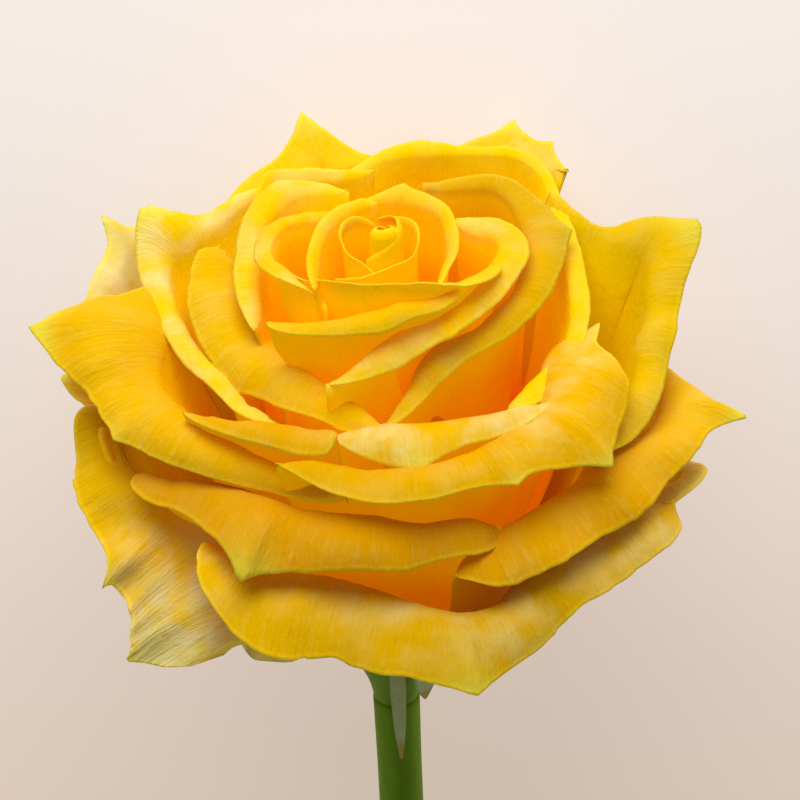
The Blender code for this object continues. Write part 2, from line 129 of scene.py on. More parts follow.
class Finish:
    """A material in the making."""

    def __init__(self, name):
        self.material = bpy.data.materials.new(name)
        self.material.use_nodes = True
        self.material.cycles.emission_sampling = "NONE"
        self.tree = self.material.node_tree
        self.shader = self.tree.nodes["Principled BSDF"]

    def node(self, kind, settings=None, sockets=None, output=0):
        """Adds a node: first its settings, then the values or links of its sockets."""
        made = self.tree.nodes.new("ShaderNode" + kind)
        for name, value in (settings or {}).items():
            setattr(made, name, value)
        for name, value in (sockets or {}).items():
            self.feed(made.inputs[name], value)
        return Value(self, made.outputs[output])

    def feed(self, socket, value):
        if isinstance(value, Value):
            self.tree.links.new(value.socket, socket)
        else:
            socket.default_value = value

    def set(self, **sockets):
        """Sets sockets of the shader, named with underscores for spaces."""
        for name, value in sockets.items():
            self.feed(self.shader.inputs[name.replace("_", " ")], value)

    def ease(self, value, low, high):
        """0 below low, 1 above high and a smooth slope between them."""
        sockets = {"Value": value, "From Min": low, "From Max": high}
        return self.node("MapRange", {"interpolation_type": "SMOOTHSTEP"}, sockets)

    def blend(self, share, first, second, way="MIX"):
        """One colour turning into another, or into their product, as share goes from 0 to 1."""
        settings = {"data_type": "RGBA", "blend_type": way}
        return self.node("Mix", settings, {0: share, 6: colour(first), 7: colour(second)}, 2)

    def place_on_piece(self):
        """Where a point of the piece is, in metres."""
        return self.node("TexCoord", output=3)

    def stored(self, name, output=1):
        """What a piece keeps at its points under a name: a set of three, or with output 2 a number."""
        return self.node("Attribute", {"attribute_name": name}, output=output)

    def parts(self, vector):
        """The three numbers of a vector."""
        split = self.node("SeparateXYZ", {}, {0: vector})
        return tuple(Value(self, socket) for socket in split.socket.node.outputs)

    def scaled(self, vector, scale):
        """Places whose pattern is drawn out in each direction where scale is small."""
        return self.node("Mapping", {}, {"Vector": vector, "Scale": scale})

    def noise(self, vector, scale, detail=3.0, rough=0.5):
        """Soft patches from 0 to 1, about scale of them to a unit of length."""
        sockets = {"Vector": vector, "Scale": scale, "Detail": detail, "Roughness": rough}
        return self.node("TexNoise", {}, sockets)

    def relief(self, height, distance, strength=1.0, before=None):
        """Bumps of a height in metres over the surface."""
        sockets = {"Height": height, "Distance": distance, "Strength": strength}
        if before is not None:
            sockets["Normal"] = before
        return self.node("Bump", {}, sockets)


def colour(value):
    return value if isinstance(value, Value) else (*value, 1.0)


floor_finish = Finish("floor")
_, floor_y, _ = floor_finish.parts(floor_finish.place_on_piece())
# Painted light falloff: the floor's colour, and so its glow, darkens and browns towards the stem, away from
# the key lamp.
floor_painted_falloff_tone = floor_finish.blend(floor_finish.ease(floor_y, *FLOOR_TURN), FLOOR_BY_BUD, FLOOR_BY_STEM)
floor_finish.set(
    Base_Color=floor_painted_falloff_tone,
    Roughness=0.9,
    Specular_IOR_Level=0.1,
    Emission_Color=floor_painted_falloff_tone,
    Emission_Strength=FLOOR_GLOW,
)
bpy.ops.object.select_all(action="DESELECT")
bpy.ops.mesh.primitive_plane_add(size=FLOOR_SIZE)
floor = bpy.context.object
floor.name = "floor"
floor.data.materials.append(floor_finish.material)

world = bpy.data.worlds.new("studio")
bpy.context.scene.world = world
world.use_nodes = True
world.node_tree.nodes["Background"].inputs["Color"].default_value = STUDIO_TINT
world.node_tree.nodes["Background"].inputs["Strength"].default_value = STUDIO_LIGHT

for name, where, size, power in LAMPS:
    lamp = bpy.data.lights.new(name, "AREA")
    lamp.size = size
    lamp.energy = power
    light = bpy.data.objects.new(name, lamp)
    bpy.context.scene.collection.objects.link(light)
    light.location = where
    light.rotation_mode = "QUATERNION"
    light.rotation_quaternion = (LAMP_AIM - Vector(where)).to_track_quat("-Z", "Y")


# Stem: a smooth green stem cut straight across, a little swollen where a leaf stood. Its bark is darker in a
# stripe along the upper side. It stands a little aside of the middle of the bloom, on the picture's left. A
# station is a radius and its share of the way down the stem.
STEM_ASIDE = Matrix.Translation((1.3 * MM, 0.0, 0.0))
STEM_TOP = -15.2
STEM_END = -143.0
STEM_RINGS = 90
ROUND_SIDES = 48
CUT_RADII = (0.5, 2.9)
CUT_CORNER = 0.25
BARK = (0.12, 0.27, 0.006)
LIGHT_BARK = (0.24, 0.44, 0.02)
STRIPE_BARK = (0.07, 0.14, 0.0)
MOTTLED_BARK = (0.26, 0.38, 0.08)
STRIPE_EDGE = (0.0004, 0.0022)
STEM_STATIONS = (
    (3.3, 0.0), (3.15, 0.1), (3.1, 0.45), (3.15, 0.6), (3.45, 0.66), (3.25, 0.71), (3.2, 0.9), (3.3, 1.0),
)


def seat_piece(item, name, material):
    """Puts a piece that was made in the flower's frame on the lying flower, with its place in its mesh."""
    item.name = name
    item.data.name = name
    item.data.transform(TO_WORLD)
    item.data.update()
    item.data.materials.clear()
    item.data.materials.append(material)
    for polygon in item.data.polygons:
        polygon.use_smooth = True
    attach(item, "root")
    return item


def turned_piece(profile):
    """A closed round body about the axis, extruded ring by ring from its lowest circle."""
    bpy.ops.object.select_all(action="DESELECT")
    radius, height = profile[0]
    bpy.ops.mesh.primitive_circle_add(
        vertices=ROUND_SIDES, radius=radius, fill_type="NGON", location=(0, 0, height)
    )
    item = bpy.context.object
    bpy.ops.object.transform_apply()
    bpy.ops.object.mode_set(mode="EDIT")
    bpy.ops.mesh.select_all(action="SELECT")
    for (radius, height), (wider, higher) in zip(profile, profile[1:]):
        bpy.ops.mesh.extrude_region_move(TRANSFORM_OT_translate={"value": (0, 0, higher - height)})
        bpy.ops.transform.resize(value=(wider / radius, wider / radius, 1))
    bpy.ops.mesh.select_all(action="SELECT")
    bpy.ops.mesh.normals_make_consistent(inside=False)
    bpy.ops.object.mode_set(mode="OBJECT")
    return item


stem_finish = Finish("stem")
bark = stem_finish.place_on_piece()
streak = stem_finish.noise(stem_finish.scaled(bark, (1.0, 0.06, 1.0)), 900.0, 4.0, 0.6)
mottle = stem_finish.noise(bark, 260.0)
stem_x, _, _ = stem_finish.parts(bark)
off_middle = stem_finish.node("Math", {"operation": "ABSOLUTE"}, {0: stem_x})
stripe = 1 - stem_finish.ease(off_middle, *STRIPE_EDGE)
green = stem_finish.blend(streak, BARK, LIGHT_BARK)
green = stem_finish.blend(stripe * 0.5, green, STRIPE_BARK)
stem_finish.set(
    Base_Color=stem_finish.blend(mottle * 0.2, green, MOTTLED_BARK),
    Roughness=0.5 + mottle * 0.2,
    Specular_IOR_Level=0.08,
    Specular_Tint=(0.6, 0.9, 0.1, 1.0),
    Normal=stem_finish.relief(streak, 0.00015, 0.8),
    Subsurface_Weight=0.1,
    Subsurface_Scale=0.001,
    Subsurface_Radius=(0.5, 0.8, 0.2),
)
stations = np.linspace(0, 1, STEM_RINGS)
radii = np.interp(stations, [share for _, share in STEM_STATIONS], [radius for radius, _ in STEM_STATIONS])
heights = STEM_TOP + (STEM_END - STEM_TOP) * stations
profile = [(radius, STEM_END) for radius in CUT_RADII] + [(radii[-1], STEM_END + CUT_CORNER)]
profile += zip(radii[-2::-1], heights[-2::-1])
stem = turned_piece([(float(radius), float(height)) for radius, height in profile])
seat_piece(stem, "stem_bark", stem_finish.material)
stem.data.transform(STEM_ASIDE)
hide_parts("stem")


# Calyx: the green hip that swells below the petals, with five downy sepals folded back from its rim. The two
# are one grown piece. A ring of the hip is its radius and height. A sepal is its azimuth, length, width and
# lean in degrees at its root and at its tip.
HIP = (
    (3.0, -15.4), (3.3, -14.0), (3.55, -12.6), (4.0, -11.0), (4.6, -9.5), (5.3, -8.0), (6.0, -6.4),
    (6.4, -4.8), (6.1, -3.2), (5.4, -2.0), (4.6, -1.3), (2.0, -1.25),
)
SEPAL_ROOT = 5.2
SEPAL_ROOT_HEIGHT = -2.6
SEPAL_THICKNESS = 0.6
SEPAL_ROWS = 33
SEPAL_COLUMNS = 17
SEPAL_BEND = 1.6
SEPAL_HOLLOW = 0.22
SEPAL_TIP = 0.15
SEPAL_GREEN = (0.34, 0.47, 0.16)
SEPAL_LIGHT = (0.58, 0.67, 0.36)
SEPAL_DOWN = (0.72, 0.76, 0.60)
SEPAL_WITHERED = (0.50, 0.34, 0.06)
SEPALS = (
    (-80, 12, 5.0, -20, 0),
    (2, 18, 1.8, -45, -93),
    (40, 10, 5.0, -50, -100),
    (150, 16, 5.0, -15, -50),
    (222, 16, 5.0, -10, -45),
)


def sheet_from_grid(points):
    """A primitive grid whose points are moved to a surface; its UV map runs along and up the sheet."""
    across, up = points.shape[:2]
    bpy.ops.object.select_all(action="DESELECT")
    bpy.ops.mesh.primitive_grid_add(x_subdivisions=across - 1, y_subdivisions=up - 1, size=1, calc_uvs=True)
    item = bpy.context.object
    flat = np.empty(len(item.data.vertices) * 3)
    item.data.vertices.foreach_get("co", flat)
    flat = flat.reshape(-1, 3)
    column = np.rint((flat[:, 0] + 0.5) * (across - 1)).astype(int)
    row = np.rint((flat[:, 1] + 0.5) * (up - 1)).astype(int)
    item.data.vertices.foreach_set("co", points[column, row].astype(np.float32).ravel())
    item.data.update()
    return item, column, row


def give_thickness(item, thickness, rim_share=1.0, body=None):
    """Thickens a sheet evenly to both sides.

    Where body is given, it is how full the sheet is at each point, and rim_share is what is left at none.
    """
    solid = item.modifiers.new("Thickness", "SOLIDIFY")
    solid.thickness = thickness
    solid.offset = 0.0
    solid.use_even_offset = False
    if body is not None:
        group = item.vertex_groups.new(name="body")
        for index, weight in enumerate(body):
            group.add([index], float(weight), "REPLACE")
        solid.vertex_group = "body"
        solid.thickness_vertex_group = rim_share
    bpy.context.view_layer.objects.active = item
    bpy.ops.object.modifier_apply(modifier="Thickness")


calyx_finish = Finish("calyx")
skin = calyx_finish.place_on_piece()
down = calyx_finish.noise(skin, 2600.0, 4.0, 0.7)
patch = calyx_finish.noise(skin, 300.0, 3.0, 0.6)
green = calyx_finish.blend(patch, SEPAL_GREEN, SEPAL_LIGHT)
downy = calyx_finish.blend(calyx_finish.ease(down, 0.5, 0.8) * 0.7, green, SEPAL_DOWN)
along_sepal, _, _ = calyx_finish.parts(calyx_finish.node("UVMap"))
withered = calyx_finish.ease(along_sepal + patch * 0.1, 0.80, 0.95)
calyx_finish.set(
    Base_Color=calyx_finish.blend(withered * 0.8, downy, SEPAL_WITHERED),
    Roughness=0.75,
    Normal=calyx_finish.relief(down, 0.0002, 0.7),
    Specular_IOR_Level=0.1,
)


def sepal(number, azimuth, length, width, root_lean, tip_lean):
    """One sepal: a narrow pointed leaf that springs from the hip and bends down, hollow along its middle."""
    stations = np.linspace(0, 1, SEPAL_ROWS)
    lean = np.radians(root_lean + (tip_lean - root_lean) * np.minimum(SEPAL_BEND * stations, 1.0))
    angle = math.radians(azimuth)
    outward = np.array((math.sin(angle), -math.cos(angle), 0.0))
    aside = np.array((math.cos(angle), math.sin(angle), 0.0))
    upward = np.array((0.0, 0.0, 1.0))
    step = length / (len(stations) - 1)
    middle = (lean[1:] + lean[:-1]) / 2
    run = np.concatenate(([0.0], np.cumsum(np.cos(middle)))) * step
    rise = np.concatenate(([0.0], np.cumsum(np.sin(middle)))) * step
    spine = outward * (SEPAL_ROOT + run[:, None]) + upward * (SEPAL_ROOT_HEIGHT + rise[:, None])
    half = 0.5 * width * np.maximum(np.sin(np.pi * (0.25 + 0.75 * stations)), 0.0) ** 0.8 + SEPAL_TIP
    side = np.linspace(-1, 1, SEPAL_COLUMNS)
    hollow = SEPAL_HOLLOW * half[:, None] * np.abs(side) ** 1.5
    points = spine[:, None] + aside * (half[:, None] * side)[..., None] + upward * hollow[..., None]
    item, _, _ = sheet_from_grid(points)
    give_thickness(item, SEPAL_THICKNESS)
    return seat_piece(item, f"sepal_{number}", calyx_finish.material)


hip = turned_piece(HIP)
seat_piece(hip, "hip", stem_finish.material)
hip.data.transform(STEM_ASIDE)
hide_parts("calyx")
for number, shape in enumerate(SEPALS, 1):
    leaf = sepal(number, *shape)
    leaf.data.transform(STEM_ASIDE)
    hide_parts("calyx")


# Receptacle: the closed head of the hip that all the petals grow from, in rings of a radius and a height.
# The petals hide nearly all of it.
CORE_ORANGE = (0.80, 0.22, 0.0)
CORE_YELLOW = (0.90, 0.34, 0.01)
RECEPTACLE = (
    (5.0, -0.9), (6.5, -0.4), (8.4, 1.0), (10.8, 5.0), (12.2, 12.0), (11.7, 20.0), (9.7, 30.0), (7.2, 38.0),
    (3.8, 42.8), (1.0, 43.5),
)
core_finish = Finish("receptacle")
core_tone = core_finish.noise(core_finish.place_on_piece(), 400.0)
core_finish.set(Base_Color=core_finish.blend(core_tone, CORE_ORANGE, CORE_YELLOW), Roughness=0.6)
core = turned_piece(RECEPTACLE)
seat_piece(core, "receptacle", core_finish.material)
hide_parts("bloom")


# Petals: thin soft blades that stand in layers round the bud, each wrapping its neighbour. Their rims roll
# outwards, a little at the heart and right back on the outer petals, and end in blunt tips.

# Petals nearer the axis than HEART_RADIUS grow from HEART_SEAT up. A foot spans a PINCH of the azimuths.
HEART_RADIUS = 12.0
HEART_SEAT = 30.0
PINCH = 0.6
FOOT_RADIUS = 1.0
FOOT_SPREAD = 0.16
WIDEST_FOOT = 7.0

# The wall's lean in degrees at its top and its foot, and how much less it is for each millimetre of radius.
TOP_LEAN = 92.0
TOP_LEAN_FALL = 0.6
FOOT_LEAN = 82.0
FOOT_LEAN_FALL = 1.6
HANDLE = 0.38

# The rolled margin: its turn towards the radius, and its rounded corners and the share of it left at them.
RADIAL_SHARE = 0.3
CORNER = 5.0
CORNER_SHARE = 0.2
ROLL_STEPS = 100

# The blade, thinner over RIM_WIDTH next to its rim, and how finely it is divided.
PETAL_THICKNESS = 0.42
RIM_SHARE = 0.5
RIM_WIDTH = 6.0
COLUMN_STEP = 0.75
FEWEST_COLUMNS = 24
MOST_COLUMNS = 150
WALL_ROWS = 22
MARGIN_ROW = 0.5
FEWEST_MARGIN_ROWS = 4
MOST_MARGIN_ROWS = 32

# Waves, ripples and pleats of the blade, as height and length, and nicks and lobes of the rim, as a share of
# the margin and a length. From the rim inwards the waves fade over about FIRM_WIDTH and the pleats over
# PLEAT_WIDTH.
WAVE = (0.45, 13.0)
RIPPLE = (0.1, 5.0)
PLEAT = (0.14, 3.4)
NICK = (0.012, 2.6)
LOBE = (0.035, 9.0)
FIRM_WIDTH = 14.0
PLEAT_WIDTH = 8.0
LEAST_PLEAT = 0.15

# How strong the painted glow is that stands in for light coming through a petal's outer face, sheltered or
# bare, and through its inner face by radius.
SHELTER_RADIUS = 20.0
LIT_SHELTERED = 0.85
LIT_BARE = 0.15
LIT_INSIDE = ((10.0, 35.0), (0.7, 0.3))


def petal(name, left, right, radius, height, margin, turn, curl=0.5, tips=(), splay=0):
    """One petal, given by its crest, the line along which its rim rolls outwards.

    The crest runs from azimuth left to right. radius, height and margin, the width of the rolled rim, are
    millimetres at even steps along it, and turn is how far the rim rolls there, in degrees. A curl under 1
    rolls it mostly near the crest. Each tip is its place along the crest from 0 to 1, length and width. A
    splay leans the top of the wall that many degrees further out.
    """
    return {
        "name": name, "left": left, "right": right, "radius": radius, "height": height,
        "margin": margin, "turn": turn, "curl": curl, "tips": tips, "splay": splay,
    }


PETALS = (
    # The bud and the small cup round it.
    petal("bud_inner", -190, 150, (0.4, 0.9, 1.0, 0.6), (64, 64.6, 65, 64.2), (1.6,), (-60,)),
    petal("bud_outer", -75, 200, (2.4, 2.1, 1.7, 1.8, 2.1), (60.2, 63, 64.5, 65.2, 64.4), (1.2,), (-45,)),
    petal("cup_left", -165, -20, (4.2, 5.6, 6.0, 5.2, 3.8, 3.2), (62.5, 64, 63.6, 62, 61, 59.5), (1.2,),
          (25,)),
    petal("cup_right", -80, 165, (7.0, 5.2, 3.8, 3.3, 3.9, 4.5, 5.0, 4.4),
          (57.5, 59, 60.5, 61, 61.5, 63, 63.5, 63.5), (1.2,), (25,)),
    petal("ring_left", -176, -62, (9.2, 10.2, 10.4, 10.2, 10.4, 10.8), (62.5, 62.5, 62, 61, 60, 58.5),
          (1.5, 2, 2, 2, 1.5), (90,), tips=((0.1, 1, 1),)),
    petal("ring_right", 58, 192, (8.2, 8.4, 9.6, 10.6, 11.8, 12.2, 12.2, 11.4),
          (57.5, 59, 60, 61, 62, 62, 62, 61.5), (1.5, 2, 2, 2, 1.5), (90,), tips=((0.82, 1.5, 1.5),)),
    # The first rolled petals round the cup.
    petal("ear_left", -165, -62, (13, 16, 18.5, 17.5, 14.5, 11.5, 9), (58, 58, 58, 57.5, 57.5, 57, 56),
          (1, 3, 3.5, 3.5, 2.5, 1, 0.5), (100, 130, 140, 130, 100, 60)),
    petal("lip_front", -97, 100, (13, 9, 7, 6, 8, 11.5, 15), (57.5, 59, 60, 60, 60, 58, 56.5),
          (0.5, 1, 0.8, 0.8, 1.5, 2.5, 3), (60, 60, 60, 60, 90, 120)),
    petal("roll_front", -76, 70, (16.5, 11.5, 9, 7.5, 7.5, 8.5, 10), (53, 55, 56, 56, 57, 57, 56.5),
          (2, 3.5, 4, 4, 3.5, 3.5, 3), (130, 150, 150, 150, 140, 120)),
    # The swirl of long petals that wraps them.
    petal("swirl_right", -36, 142, (15, 10.2, 8, 7.6, 8.3, 10.5, 15, 19.5, 16),
          (48.5, 50.5, 52, 52.7, 53.2, 54, 55, 56.7, 57), (1, 4.5, 6, 6, 6, 5.5, 5, 5, 2),
          (140, 140, 140, 130, 130, 130, 120, 110, 80)),
    petal("swirl_outer", -5, 166, (17, 11, 9.5, 10, 14, 20, 25.5, 28, 22),
          (44, 46, 48, 49, 50, 52, 54, 56.5, 57), (1, 4, 5, 5, 5, 5.5, 5, 3, 1.5),
          (120, 130, 130, 130, 130, 120, 110, 90, 60), tips=((0.74, 2.5, 2.5),)),
    petal("shoulder_left", -168, -90, (21.5, 26.5, 25.5, 22, 19.3, 18), (57, 56.5, 55, 52.5, 51, 49),
          (2, 4, 4, 4, 3.5, 2), (90, 100, 110, 110, 90), curl=0.7, tips=((0.24, 1.5, 2),), splay=6),
    petal("collar_left", -178, -142, (25.5, 27.5, 30, 32, 29.5), (57, 56.5, 56, 55, 53.5),
          (1, 2.5, 3, 2.5, 1), (70,), curl=0.8, tips=((0.75, 1.5, 2),)),
    petal("band_left", -130, -4, (30, 23.5, 17.5, 14.5, 13, 12.4, 13.3, 15.5),
          (50, 48, 46, 45.5, 45.5, 45, 44, 43), (7, 10, 9.5, 8, 7, 6, 4.5, 1),
          (100, 120, 140, 140, 140, 140), curl=0.4, tips=((0.36, 1.5, 2),)),
    petal("back_wall", 50, 197, (21, 22, 24.5, 26, 28, 32.5, 39, 35.5, 33, 26),
          (43.5, 45, 47, 48.5, 50, 51, 53, 54.5, 55, 55), (3, 4, 3.5, 3, 3, 2.5, 2, 2, 2, 1),
          (100, 110, 110, 110, 100, 90, 80, 60)),
    # The front pair and the broad petal below them.
    petal("pair_left", -71, -23, (29.5, 25.7, 22.5, 20.3, 19), (43, 43.5, 44, 44, 44), (1, 3, 4.5, 5.5, 5.5),
          (120, 130), tips=((0.97, 1.5, 1.5),)),
    petal("pair_right", -24, 61, (19, 17.7, 17.9, 19.3, 22.7, 26.2), (44, 44, 44.2, 44.6, 45, 45),
          (3.5, 6.5, 6.5, 5.5, 4.5, 1), (120, 130, 130, 120, 100), tips=((0.38, 4, 2.5),)),
    petal("front_lobe", -38, 91, (25.5, 24, 24.8, 25.2, 26, 27, 26.5, 28.5),
          (42, 42, 42, 43, 44, 45, 46.5, 47), (1, 5.5, 7, 7, 8.5, 12, 13, 2),
          (110, 120, 120, 120, 120, 130, 110, 60), tips=((0.535, 2.5, 2), (0.7, 4, 1.5))),
    # The outer petals, opened wide and rolled right back.
    petal("left_inner", -92, -34, (22, 19.5, 17.5, 17, 17), (38.5, 38.5, 38.5, 38.5, 38), (1, 2, 2, 2, 1),
          (60,)),
    petal("left_outer", -152, -55, (35, 35.5, 38.3, 32, 27, 23, 21, 19),
          (51.5, 50.5, 48, 46, 44, 43, 42, 41), (1, 3, 5, 4, 4, 3.5, 3, 1), (80, 70, 110, 110, 110, 110),
          curl=0.8, tips=((0.24, 5.5, 2.5),), splay=10),
    petal("back_left", -178, -142, (40, 45, 43, 40, 36), (50, 50, 50, 50, 49.5), (2, 6, 7, 6, 2), (50,),
          curl=0.4, tips=((0.3, 5, 2),)),
    petal("back_right", 143, 166, (43, 45, 46, 45, 42), (50, 50, 50, 50, 50), (1, 4, 5, 4, 1), (50,),
          curl=0.4, tips=((0.6, 4, 2), (0.28, 2, 1.5))),
    petal("right_wall", 58, 138, (31.5, 33, 34.5, 36.5, 39.5, 41.5, 35, 34.5),
          (38, 39, 41, 43.5, 46, 48.3, 50.3, 52), (1, 4.5, 5, 5, 5, 4, 2.5, 1),
          (110, 110, 100, 80, 70, 60, 50), curl=0.9, tips=((0.7, 7, 3.5),), splay=14),
    petal("left_big", -116, -18, (36, 37.3, 34.2, 30.5, 25.5, 23, 21.5, 22),
          (46.3, 45.8, 43, 41.3, 39.5, 38.3, 37.3, 36), (3, 15, 10, 8.5, 6.5, 5, 4, 1),
          (70, 85, 105, 120, 130, 130), curl=0.5, tips=((0.14, 6.5, 3), (0.378, 2, 3)), splay=18),
    petal("right_low", 14, 100, (29, 29, 30, 32, 34, 37, 38, 38), (28, 31, 33.5, 35, 36, 36, 34.5, 35),
          (2, 9, 10, 10, 10, 8, 4, 1), (110, 130, 130, 130, 120, 110, 90), curl=0.45,
          tips=((0.85, 10, 2.5),)),
    petal("left_mid", -100, -70, (40, 40, 37, 34), (34, 32, 28, 24), (1.5,), (60,)),
    petal("front_low", -75, 30, (36, 30, 27, 26, 26, 26, 27), (32.5, 35, 35, 35, 35, 34, 31.5),
          (4, 7, 8, 9, 9, 7, 4), (110, 120, 130, 130, 120), curl=0.4, tips=((0.37, 7, 4),)),
    petal("skirt_front", -53, 69, (32.6, 33.4, 31.9, 30.3, 30.6, 32.9, 34.1, 33.5, 32.3, 33.4, 36.2, 40),
          (28.6, 27.4, 26.5, 26.4, 25.9, 25.2, 23.8, 23.3, 25.7, 27.2, 28.4, 28.8),
          (3, 9.5, 17, 16.5, 15.2, 13, 11.8, 10, 10.5, 10, 9, 8), (100, 115, 125, 130, 120), curl=0.5,
          tips=((0.539, 4, 3),)),
    petal("back_low_right", 99, 158, (35, 36, 36.5, 36, 34), (25, 28, 30, 31, 30), (3, 6, 7, 6, 3), (120,),
          curl=0.4, tips=((0.5, 3, 3),)),
    petal("back_low", 150, 214, (33, 34.5, 35, 34.5, 33), (32, 34, 34.5, 34, 32), (3, 6, 7, 6, 3), (120,),
          curl=0.4, tips=((0.5, 2, 3),)),
    petal("back_low_left", -152, -100, (35, 37, 38, 38, 37), (30, 31, 30, 28, 26), (3, 6, 7, 6, 3), (120,),
          curl=0.4, tips=((0.5, 3, 3),)),
    # The pale guard petals next to the calyx.
    petal("guard_left", -100, -44, (39.6, 38.6, 37.2, 35.2, 31.5, 29.8, 30, 32),
          (33, 31.6, 30, 27.6, 24.8, 21.3, 18, 13.5), (4, 6.5, 9.5, 10.5, 15, 18.5, 18, 14), (94,), curl=0.2,
          tips=((0.52, 4, 1.5), (0.88, 4, 2))),
    petal("guard_top_left", -140, -108, (48, 48.5, 47, 44), (43.5, 43, 42, 39), (3, 3, 3, 2), (50,),
          tips=((0.28, 5, 1.5), (0.05, 2, 2))),
    petal("guard_side", -112, -98, (42, 44.5, 41), (34.5, 33.5, 32), (1, 2.5, 1), (50,),
          tips=((0.5, 3, 2),)),
    petal("guard_right", 66, 88, (32, 37, 41, 41.5, 38), (23.5, 25, 26.5, 26.5, 25), (2, 4, 4, 4, 3), (80,)),
    petal("guard_back", 112, 176, (30, 33, 34, 33, 30), (14, 16, 17, 16, 14), (3, 4, 5, 4, 3), (100,)),
    petal("guard_back_left", -176, -118, (31, 34, 35, 34, 31), (16, 18, 18, 16, 14), (3, 4, 5, 4, 3),
          (100,)),
)


def smooth_values(values, along):
    """A smooth curve through evenly spaced values, read at places along it from 0 to 1."""
    values = np.asarray(values, float)
    if len(values) == 1:
        return np.full_like(along, values[0])
    padded = np.concatenate(([2 * values[0] - values[1]], values, [2 * values[-1] - values[-2]]))
    place = np.clip(along, 0, 1) * (len(values) - 1)
    index = np.minimum(place.astype(int), len(values) - 2)
    part = place - index
    before, start, end, after = (padded[index + step] for step in range(4))
    return 0.5 * (
        2 * start + (end - before) * part + (2 * before - 5 * start + 4 * end - after) * part**2
        + (3 * start - before - 3 * end + after) * part**3
    )


def mean_radius(shape):
    return float(np.mean(shape["radius"]))


def crest_line(shape, along):
    azimuth = np.radians(shape["left"] + (shape["right"] - shape["left"]) * along)
    radius = smooth_values(shape["radius"], along)
    height = smooth_values(shape["height"], along)
    return np.stack((radius * np.sin(azimuth), -radius * np.cos(azimuth), height), -1), azimuth


def outward_directions(shape, along, azimuth):
    """The level direction in which the rim rolls: square to the crest, eased towards the radius."""
    step = 1e-3
    ahead, _ = crest_line(shape, np.clip(along + step, 0, 1))
    behind, _ = crest_line(shape, np.clip(along - step, 0, 1))
    run = ahead - behind
    square = np.stack((run[:, 1], -run[:, 0]), -1)
    square /= np.linalg.norm(square, axis=1)[:, None]
    radial = np.stack((np.sin(azimuth), -np.cos(azimuth)), -1)
    mixed = square * (1 - RADIAL_SHARE) + radial * RADIAL_SHARE
    return mixed / np.linalg.norm(mixed, axis=1)[:, None]


def walked_along(crest):
    """How far along its line each point of a crest is."""
    return np.concatenate(([0.0], np.cumsum(np.linalg.norm(np.diff(crest, axis=0), axis=1))))


def rounded_ends(walked):
    """How much of the margin is left at each place of the crest, whose ends are rounded off."""
    near = np.minimum(walked, walked[-1] - walked)
    part = np.clip(near / CORNER, 0, 1)
    return CORNER_SHARE + (1 - CORNER_SHARE) * np.sqrt(1 - (1 - part) ** 2)


def rolled_margin(shape, along, crest, rise, stops):
    """How far the rim goes out and up from the top of the wall, and the wall top below the crest."""
    walked = walked_along(crest)
    width = smooth_values(shape["margin"], along) * rounded_ends(walked)
    full = width.copy()
    for place, length, spread in shape["tips"]:
        away = np.abs(walked - np.interp(place, along, walked))
        full = full + length * np.exp(-away / spread)
    turn = np.radians(smooth_values(shape["turn"], along))
    middle = (np.arange(ROLL_STEPS) + 0.5) / ROLL_STEPS
    lean = rise - turn[:, None] * middle[None] ** shape["curl"]
    start = np.zeros((len(along), 1))
    out = np.concatenate((start, np.cumsum(np.cos(lean), 1) / ROLL_STEPS), 1)
    up = np.concatenate((start, np.cumsum(np.sin(lean), 1) / ROLL_STEPS), 1)
    rows = np.arange(len(along))
    peak = np.argmax(up, 1)
    picks = [round(stop * ROLL_STEPS) for stop in stops]
    back = out[rows, peak] * width
    drop = up[rows, peak] * width
    return out[:, picks] * full[:, None], up[:, picks] * full[:, None], back, drop


def petal_grid(shape, along, wall_stops, margin_stops):
    """Points of the petal's middle surface, from its foot up the wall and over the rolled margin."""
    crest, azimuth = crest_line(shape, along)
    size = mean_radius(shape)
    rise = math.radians(TOP_LEAN - TOP_LEAN_FALL * size - shape["splay"])
    spring = math.radians(FOOT_LEAN - FOOT_LEAN_FALL * size)
    foot = min(FOOT_RADIUS + FOOT_SPREAD * size, WIDEST_FOOT)
    out = outward_directions(shape, along, azimuth)
    margin_out, margin_up, back, drop = rolled_margin(shape, along, crest, rise, margin_stops)
    top = crest.copy()
    top[:, :2] -= out * back[:, None]
    top[:, 2] -= drop
    middle = math.radians((shape["left"] + shape["right"]) / 2)
    base_azimuth = middle + (azimuth - middle) * PINCH
    base_out = np.stack((np.sin(base_azimuth), -np.cos(base_azimuth)), -1)
    seat = HEART_SEAT if size < HEART_RADIUS else 0.0
    base = np.concatenate((foot * base_out, np.full((len(along), 1), seat)), 1)
    handle = HANDLE * np.linalg.norm(top - base, axis=1)[:, None]
    level = np.ones((len(along), 1))
    first = base + handle * np.concatenate((base_out * math.cos(spring), level * math.sin(spring)), 1)
    second = top - handle * np.concatenate((out * math.cos(rise), level * math.sin(rise)), 1)
    t = np.asarray(wall_stops)[None, :, None]
    wall = (
        (1 - t) ** 3 * base[:, None] + 3 * (1 - t) ** 2 * t * first[:, None]
        + 3 * (1 - t) * t**2 * second[:, None] + t**3 * top[:, None]
    )
    rim_level = top[:, None, :2] + out[:, None] * margin_out[..., None]
    rim_height = (top[:, None, 2] + margin_up)[..., None]
    return np.concatenate((wall, np.concatenate((rim_level, rim_height), -1)), 1)


def waves(rng, first, second, length, count=14):
    """Seeded rolling noise from about -1 to 1 over two distances, in waves of about one length."""
    total = np.zeros(np.broadcast(first, second).shape)
    for _ in range(count):
        angle = rng.uniform(0, 2 * np.pi)
        number = 2 * np.pi / (length * rng.uniform(0.7, 1.5))
        phase = rng.uniform(0, 2 * np.pi)
        total = total + np.sin(number * (first * np.cos(angle) + second * np.sin(angle)) + phase)
    return total * math.sqrt(2.0 / count) / 1.6


